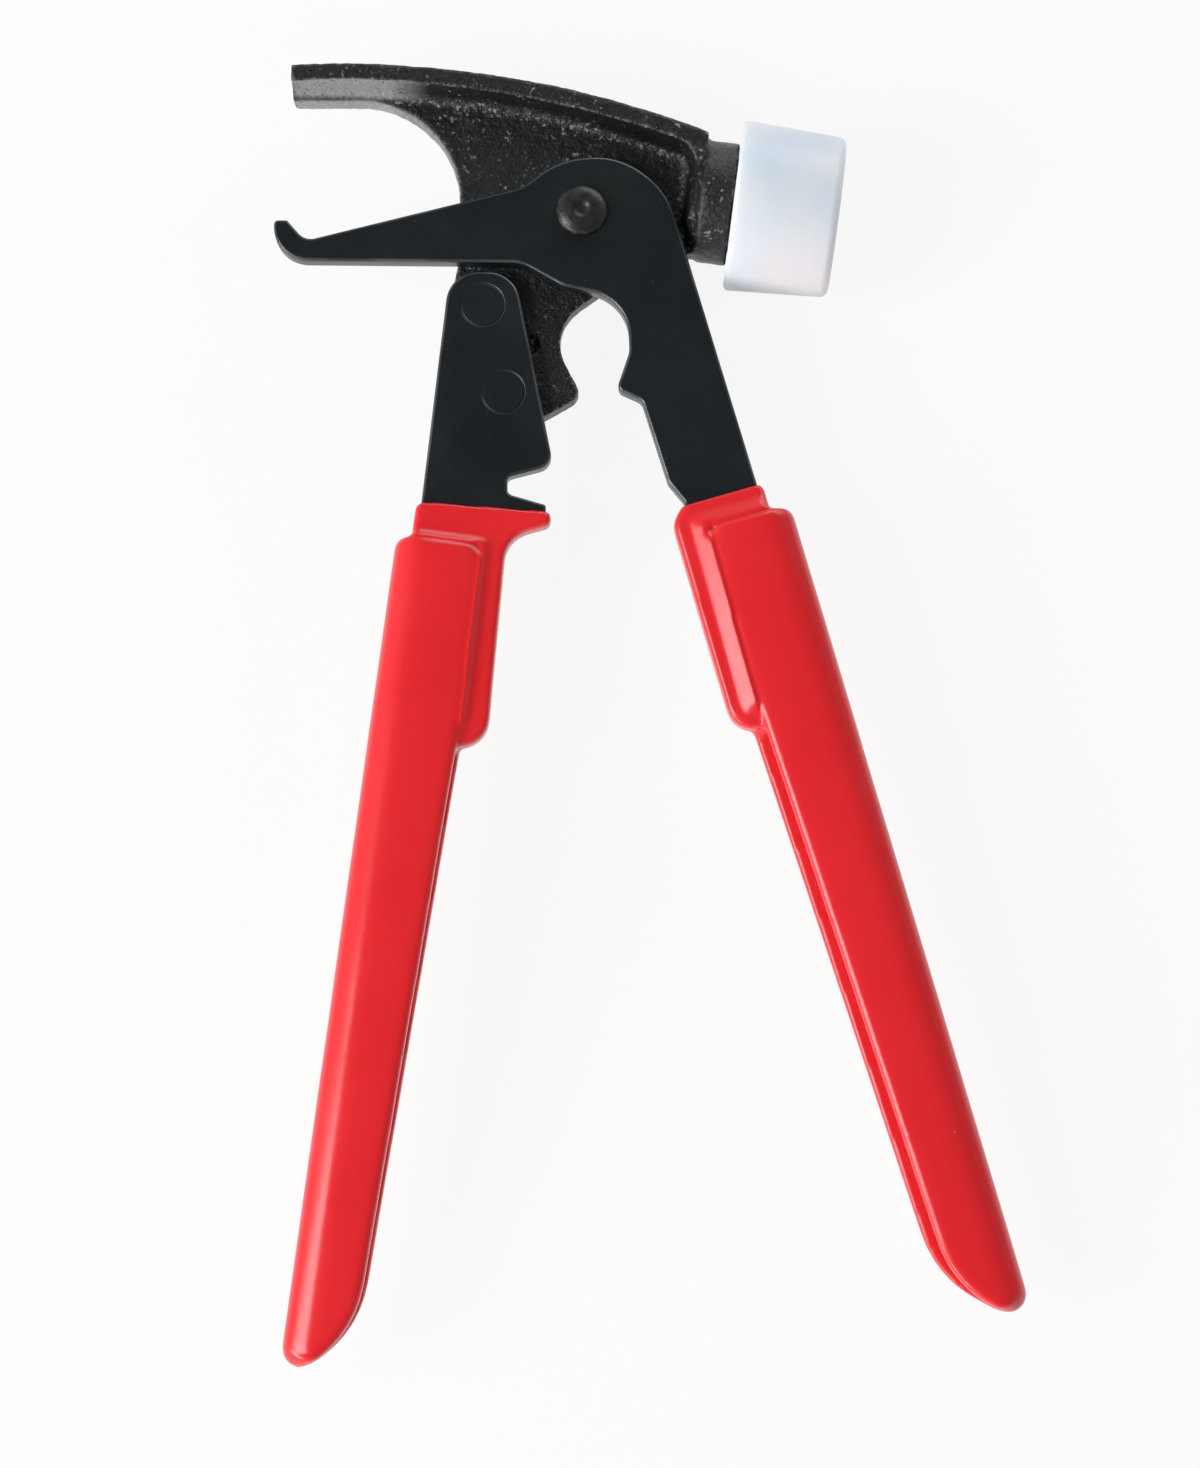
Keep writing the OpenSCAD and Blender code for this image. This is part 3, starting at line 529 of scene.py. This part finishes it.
def repeated(mesh, places, material):
    """The mesh set at each place by Geometry Nodes, as one plain mesh."""
    tree = bpy.data.node_groups.new("rivets_in_a_row", "GeometryNodeTree")
    sockets = [tree.interface.new_socket(name, in_out="INPUT", socket_type=kind)
               for name, kind in (("Geometry", "NodeSocketGeometry"), ("First", "NodeSocketVector"),
                                  ("Last", "NodeSocketVector"), ("Count", "NodeSocketInt"))]
    tree.interface.new_socket("Geometry", in_out="OUTPUT", socket_type="NodeSocketGeometry")
    asked = add(tree, "NodeGroupInput").outputs
    row = add(tree, "GeometryNodeMeshLine", {"Count": asked["Count"], "Start Location": asked["First"],
                                             "Offset": asked["Last"]}, mode="END_POINTS")
    rivets = add(tree, "GeometryNodeInstanceOnPoints", {"Points": row, "Instance": asked["Geometry"]})
    real = add(tree, "GeometryNodeRealizeInstances", {"Geometry": rivets})
    finished = add(tree, "GeometryNodeSetMaterial", {"Geometry": real, "Material": material})
    add(tree, "NodeGroupOutput", {"Geometry": finished})
    holder = bpy.data.objects.new("rivet_row", mesh)
    bpy.context.collection.objects.link(holder)
    modifier = holder.modifiers.new("row", "NODES")
    modifier.node_group = tree
    for socket, value in zip(sockets[1:], (places[0], places[-1], len(places))):
        modifier[socket.identifier] = value
    row_mesh = bpy.data.meshes.new_from_object(holder.evaluated_get(bpy.context.evaluated_depsgraph_get()))
    bpy.data.objects.remove(holder)
    row_mesh.materials.clear()
    return row_mesh


web_back = HEAD_LEVEL - WEB / 2
rivet_feet = [(pivot.x + x * MM, pivot.y + y * MM, web_back) for x, y in (UPPER_RIVET, LOWER_RIVET)]
add_piece("handle_rivets", repeated(flush_rivet(), rivet_feet, black_steel), black_steel, "head",
          "dark_rivet", "upper_handle_rivet", "lower_handle_rivet")

# Pivot rivet
# One soft steel rivet through head and jaw. Its low snap heads are closed with a hollow set that leaves a
# mark in the middle, and the blacking is rubbed to brown and bright steel round the rim.

PIVOT_HEAD = 5.4 * MM
PIVOT_RISE = 1.9 * MM
PIVOT_LAND = 0.35 * MM
PIVOT_SHANK = 3.5 * MM
PIVOT_FRONT = PLATE_BACK + PLATE + 0.5 * MM
PIVOT_TURN = 0.5
MARK = 2 * MM
# How deep each ring of the struck mark lies under the crown, and its share of the mark's radius
MARK_STEPS = ((0.1 * MM, 0.85), (0.35 * MM, 0.6), (0.5 * MM, 0.3), (0.4 * MM, 0))


def rubbed_rivet():
    """Blacked mild steel, rubbed by use: dark and fairly smooth with brown and bright places."""
    material, tree, place = new_material("rubbed_blacked_rivet_steel")
    rub = add(tree, "ShaderNodeTexNoise", {"Vector": place, "Scale": 1 / (1.8 * MM), "Detail": 4})
    fine = add(tree, "ShaderNodeTexNoise", {"Vector": place, "Scale": 1 / (0.5 * MM), "Detail": 3})
    on_rim = add(tree, "ShaderNodeAttribute", attribute_name="rim_mark").outputs["Fac"]
    bare = where_both(tree, on_rim, ((0.2, 0.0), (0.6, 1.0)), rub, ((0.45, 0.0), (0.56, 1.0)))
    dark = add(tree, "ShaderNodeValToRGB", {"Fac": rub},
               ((0.4, linear("#171b1d")), (0.68, linear("#2a2d2f"))))
    bright = add(tree, "ShaderNodeMath", {0: bare, 1: 0.8}, operation="MULTIPLY")
    bump = add(tree, "ShaderNodeBump", {"Height": fine, "Distance": 0.08 * MM, "Strength": 0.7})
    shader = add(tree, "ShaderNodeBsdfPrincipled", {
        "Base Color": coated(tree, dark, (bare, "#8a6f55")), "Metallic": bright, "Roughness": 0.32,
        "Normal": bump})
    add(tree, "ShaderNodeOutputMaterial", {"Surface": shader})
    return material


snap_length = PIVOT_FRONT - web_back
snap_head = [(0, PIVOT_HEAD), (PIVOT_LAND, PIVOT_HEAD)]
for angle in range(10, 91, 8):
    snap_head.append((PIVOT_LAND + (PIVOT_RISE - PIVOT_LAND) * math.sin(math.radians(angle)),
                      MARK + (PIVOT_HEAD - MARK) * math.cos(math.radians(angle))))
snap_head += [(PIVOT_RISE - sunk, MARK * share) for sunk, share in MARK_STEPS]
snap_profile = ([(-a, r) for a, r in reversed(snap_head)] + [(0, PIVOT_SHANK), (snap_length, PIVOT_SHANK)]
                + [(snap_length + a, r) for a, r in snap_head])
snap_rivet = turned(snap_profile, Vector((pivot.x, pivot.y, web_back)), Vector((0, 0, 1)))
mark_rims(snap_rivet, "rim_mark", PIVOT_TURN)
add_piece("snap_rivet", snap_rivet, rubbed_rivet(), "head", "dark_rivet", "pivot_rivet")

# Grip channels
# Steel sheet folded to a U and spot welded over each plate's end. They are all but hidden under the dip,
# and keep the sheet's mill finish.


def mill_sheet():
    """Cold-rolled sheet as it comes from the mill: grey, fairly dull, with rolling lines along it."""
    material, tree, place = new_material("mill_finish_sheet")
    drawn = add(tree, "ShaderNodeMapping", {"Vector": place, "Scale": (1, 0.05, 1)})
    lines = add(tree, "ShaderNodeTexNoise", {"Vector": drawn, "Scale": 1 / (0.6 * MM)})
    grey = add(tree, "ShaderNodeValToRGB", {"Fac": lines},
               ((0.3, linear("#7d8083")), (0.7, linear("#989b9e"))))
    gloss = add(tree, "ShaderNodeValToRGB", {"Fac": lines}, ((0.3, 0.36), (0.7, 0.5)))
    shader = add(tree, "ShaderNodeBsdfPrincipled", {"Base Color": grey, "Roughness": gloss, "Metallic": 1})
    add(tree, "ShaderNodeOutputMaterial", {"Surface": shader})
    return material


sheet_steel = mill_sheet()
for channel in ("left_grip_channel", "right_grip_channel"):
    frame["nodes"][channel].data.materials.clear()
    frame["nodes"][channel].data.materials.append(sheet_steel)

# Dipped grips
# Each handle is dipped hot in red PVC, which gels to a soft glossy skin 1.25 mm thick. It bridges the
# step round the channel with a sloping bank, crowns over the flats and rounds every edge.

DIP_CELL = 0.54 * MM
DIP_RELAX = 7
DIP_WAVE = (18 * MM, 0.045 * MM, -1.5)
GRIP_WIDTH = 19 * MM
# Heights above the plate's middle, and where the channel's step runs, measured in from its back
TANG_TOP = 3.5 * MM
TANG_SKIN = 0.4 * MM
CHANNEL_TOP = 5.5 * MM
STEP_AT = 18.5 * MM
STEP_FLARE = 0.0165
LEFT_BANK = 1.5 * MM
RIGHT_BANK = 3.8 * MM
BANK_LIP = 0.2 * MM
BANK_FADE = 4 * MM
CROWN_FROM = 0.45
CROWN_DROP = 0.6 * MM
PALM_DROP = 1.1 * MM
PALM_WIDTH = 9 * MM


def dipped_vinyl():
    """Plastisol PVC: saturated red with a wet gloss, a little light inside, faint waves and dust."""
    material, tree, place = new_material("red_plastisol_dip")
    waves = add(tree, "ShaderNodeTexNoise", {"Vector": place, "Scale": 1 / (26 * MM), "Detail": 2})
    peel = add(tree, "ShaderNodeTexNoise", {"Vector": place, "Scale": 1 / (3.2 * MM), "Detail": 1})
    specks = add(tree, "ShaderNodeTexVoronoi", {"Vector": place, "Scale": 1 / (5 * MM)}).outputs
    lint = where_both(tree, specks["Distance"], ((0.03, 0.5), (0.06, 0.0)),
                      specks["Color"], ((0.6, 0.0), (0.66, 1.0)))
    red = add(tree, "ShaderNodeValToRGB", {"Fac": waves},
              ((0.35, linear("#e8242b")), (0.65, linear("#ec272e"))))
    gloss = add(tree, "ShaderNodeValToRGB", {"Fac": waves}, ((0.3, 0.2), (0.7, 0.24)))
    bump = add(tree, "ShaderNodeBump", {"Height": peel, "Distance": 0.03 * MM, "Strength": 0.5})
    shader = add(tree, "ShaderNodeBsdfPrincipled", {
        "Base Color": coated(tree, red, (lint, "#f0a0a0")), "Roughness": gloss, "Normal": bump,
        "IOR": 1.53, "Subsurface Weight": 0.12, "Subsurface Radius": (1.0, 0.2, 0.1),
        "Subsurface Scale": 1.2 * MM})
    add(tree, "ShaderNodeOutputMaterial", {"Surface": shader})
    return material


def handle_frame(top, down, inwards):
    """A function that gives a point's (u, v) on a handle, in metres."""
    start = Vector((pivot.x + top[0] * MM, pivot.y + top[1] * MM))
    along = (Vector(down) - Vector(top)).normalized()
    across = (Vector(inwards) - Vector(top)).normalized()
    return lambda point: ((point.xy - start).dot(along), (point.xy - start).dot(across))


def bank_and_crown(mesh, frame_of, level, tang_length, bank):
    """Lays the sloping bank round the channel's step, and crowns the channel towards the palm."""
    for vertex in mesh.vertices:
        u, v = frame_of(vertex.co)
        height = abs(vertex.co.z - level)
        beside = max(v - STEP_AT - STEP_FLARE * u, -u)
        if beside > 0 and height > TANG_TOP - TANG_SKIN:
            fade = kept_in((tang_length - u) / BANK_FADE)
            slope = max(0, 1 - beside / bank)
            height = max(height, TANG_TOP + fade * (CHANNEL_TOP - TANG_TOP - BANK_LIP) * slope)
        elif beside <= 0 and height > TANG_TOP:
            across = max(0, (v / GRIP_WIDTH - CROWN_FROM) / (1 - CROWN_FROM))
            palm = kept_in(1 - v / PALM_WIDTH)
            share = (height - TANG_TOP) / (CHANNEL_TOP - TANG_TOP)
            height -= share * (CROWN_DROP * across * across + PALM_DROP * palm * palm)
        vertex.co.z = level + math.copysign(height, vertex.co.z - level)


red_dip = dipped_vinyl()
for grip, body, corner_of, lean, level, tang_length, bank in (
        ("left_grip", "head", left_at, LEFT_LEAN, PLATE_BACK + PLATE / 2, LEFT_TANG * MM, LEFT_BANK),
        ("right_grip", "jaw", right_at, -RIGHT_LEAN, JAW_BACK + PLATE / 2, RIGHT_TANG * MM, RIGHT_BANK)):
    frame_of = handle_frame(corner_of(0, 0), corner_of(1, 0), corner_of(0, 1))
    skin = finer_copy(grip, DIP_CELL, lean)
    bank_and_crown(skin, frame_of, level, tang_length, bank)
    relax(skin, DIP_RELAX)
    sink(skin, DIP_WAVE)
    add_piece(grip + "_dip", skin, red_dip, body, "red_vinyl", grip)

# Table, light and camera
# A white card, one soft lamp from the left, a low one from beside the handles and one from beyond
# the head, under a dim ceiling. A long lens looks down from a little towards the handles.

CARD_REACH = 3
CARD_LEVEL = -0.6 * MM
TILT = math.radians(8)
DISTANCE = 850 * MM
FRAME_HEIGHT = 1468
SCALE = 4.74 / MM
# Where the lens points, in millimetres from the pivot and above the table
AIM = (3.9, -112.9, 24)


def white_card():
    """Matt white card that reads as white to the lens and still takes the tool's shadow."""
    material, tree, place = new_material("matt_white_card")
    seen = add(tree, "ShaderNodeLightPath").outputs
    either = add(tree, "ShaderNodeMath", {0: seen["Is Camera Ray"], 1: seen["Is Glossy Ray"]},
                 operation="MAXIMUM")
    # The rest of the white comes from the lamps, and with it the shadow
    lit = add(tree, "ShaderNodeMath", {0: either, 1: 0.88}, operation="MULTIPLY")
    fibre = add(tree, "ShaderNodeTexNoise", {"Vector": place, "Scale": 1 / (1.5 * MM), "Detail": 3})
    white = add(tree, "ShaderNodeValToRGB", {"Fac": fibre},
                ((0.3, linear("#f2f2f2")), (0.7, linear("#f6f6f6"))))
    paper = add(tree, "ShaderNodeBsdfPrincipled", {"Base Color": white, "Roughness": 0.9,
                                                   "Specular IOR Level": 0.1})
    glow = add(tree, "ShaderNodeEmission", {"Strength": 1.0})
    mixed = add(tree, "ShaderNodeMixShader", {"Fac": lit, 1: paper, 2: glow})
    add(tree, "ShaderNodeOutputMaterial", {"Surface": mixed})
    return material


corners = [(x * CARD_REACH, y * CARD_REACH, CARD_LEVEL) for x, y in ((-1, -1), (1, -1), (1, 1), (-1, 1))]
card = bpy.data.meshes.new("card")
card.from_pydata(corners, [], [(0, 1, 2, 3)])
card.materials.append(white_card())
table = bpy.data.objects.new("table", card)
bpy.context.collection.objects.link(table)

world = bpy.data.worlds.new("studio")
bpy.context.scene.world = world
world.use_nodes = True
sky = world.node_tree
outwards = add(sky, "ShaderNodeTexCoord").outputs["Generated"]
split = add(sky, "ShaderNodeSeparateXYZ", {"Vector": outwards}).outputs
leaning = add(sky, "ShaderNodeMath", {0: split["X"], 1: 0.25, 2: split["Z"]}, operation="MULTIPLY_ADD")
walls = add(sky, "ShaderNodeValToRGB", {"Fac": leaning}, ((0.0, 0.74), (0.5, 0.42), (0.8, 0.14)))
sky.links.new(walls.outputs["Color"], sky.nodes["Background"].inputs["Color"])


def soft_lamp(name, place, width, height, watts):
    """A rectangular soft box at a place, turned to the tool."""
    lamp = bpy.data.lights.new(name, "AREA")
    lamp.shape = "RECTANGLE"
    lamp.size = width
    lamp.size_y = height
    lamp.energy = watts
    holder = bpy.data.objects.new(name, lamp)
    holder.location = place
    holder.rotation_euler = (-Vector(place)).to_track_quat("-Z", "Y").to_euler()
    bpy.context.collection.objects.link(holder)


soft_lamp("left_soft_box", (-0.88, -0.2, 0.9), 0.45, 0.8, 9)
soft_lamp("low_soft_box", (-1.0, -0.75, 0.42), 0.9, 0.42, 8.5)
soft_lamp("far_soft_box", (0.5, 1.1, 0.5), 1.2, 0.7, 6)

aim = Vector((pivot.x + AIM[0] * MM, pivot.y + AIM[1] * MM, AIM[2] * MM))
lens = bpy.data.cameras.new("camera")
lens.sensor_fit = "VERTICAL"
lens.sensor_height = 36
lens.lens = lens.sensor_height * SCALE * DISTANCE / FRAME_HEIGHT
camera = bpy.data.objects.new("camera", lens)
camera.location = aim + DISTANCE * Vector((0, -math.sin(TILT), math.cos(TILT)))
camera.rotation_euler = (TILT, 0, 0)
bpy.context.collection.objects.link(camera)
bpy.context.scene.camera = camera
bpy.context.scene.view_settings.view_transform = "Standard"
